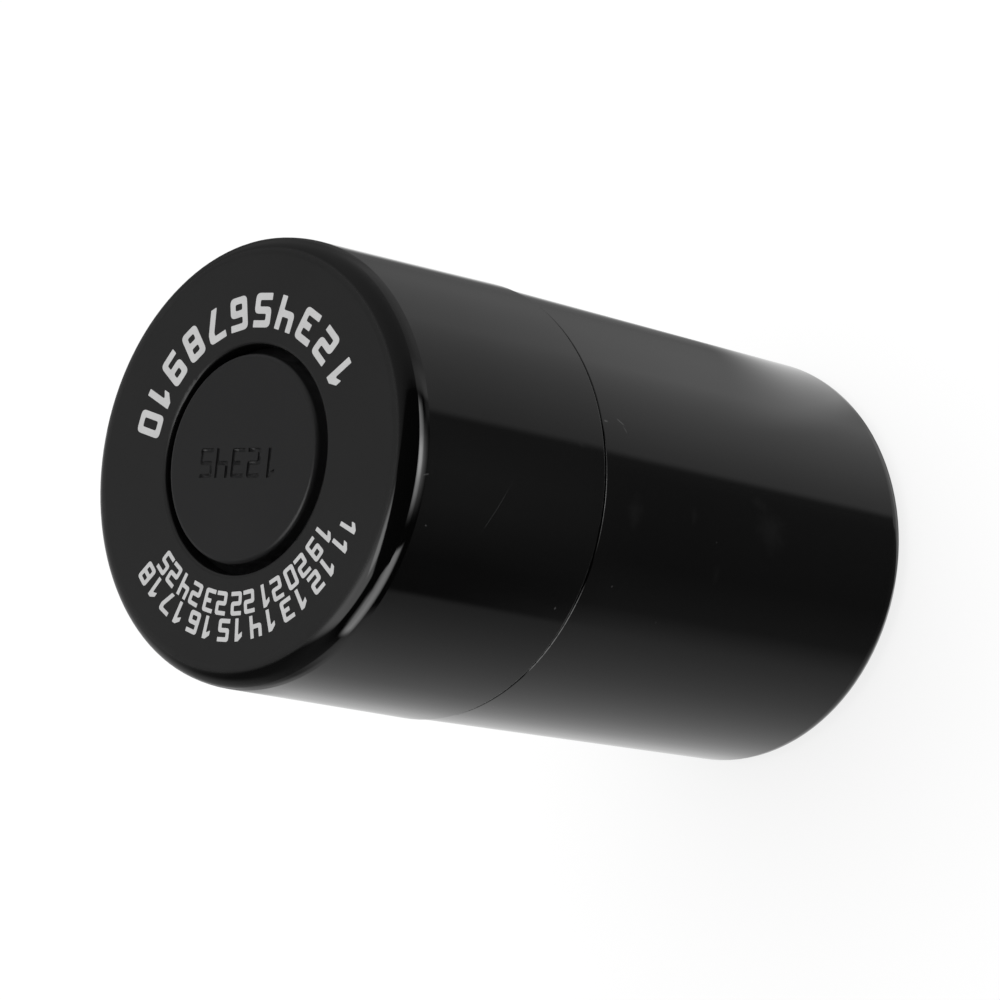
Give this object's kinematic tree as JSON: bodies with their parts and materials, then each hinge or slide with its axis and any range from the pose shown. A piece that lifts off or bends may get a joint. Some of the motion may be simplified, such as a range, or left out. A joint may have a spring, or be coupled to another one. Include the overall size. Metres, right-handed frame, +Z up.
{
  "type": "vacuum seal canister",
  "caption": "Round pocket canister: a cup with a push-on cap, whose sprung centre button opens an air valve in a sealed inner plug.",
  "frame": {"origin": "middle of the foot, on the surface that the canister stands on", "axes": "+Z up along the canister's axis, from the cup to the cap's face"},
  "size_m": [0.046, 0.046, 0.0786],
  "materials": {
    "gloss_black": "moulded, polished black",
    "cap_black": "polished sides, satin face",
    "button_black": "fine matte black",
    "inner_black": "as moulded, satin",
    "silicone": "soft, cloudy silicone",
    "stem_natural": "natural acetal",
    "spring_steel": "drawn stainless wire",
    "steel": "plain stainless",
    "print_grey": "pad print"
  },
  "bodies": {
    "base": {"base_cup": "gloss_black"},
    "cap": {"cap_shell": "cap_black", "inner_lid": "inner_black", "seal_ring": "silicone", "button_spring": "spring_steel"},
    "button": {"push_button": "button_black", "valve_stem": "stem_natural", "valve_stopper": "silicone", "stopper_washer": "steel", "stopper_screw": "steel"}
  },
  "joints": [
    {"name": "cap_lift", "type": "slide", "parent": "base", "child": "cap", "axis": [0, 0, 1], "range_m": [0, 0.03]},
    {"name": "button_press", "type": "slide", "parent": "cap", "child": "button", "axis": [0, 0, -1], "range_m": [0, 0.0025], "stiffness_N_per_m": 470, "springref_m": -0.004, "deforming": ["button_spring"]}
  ]
}
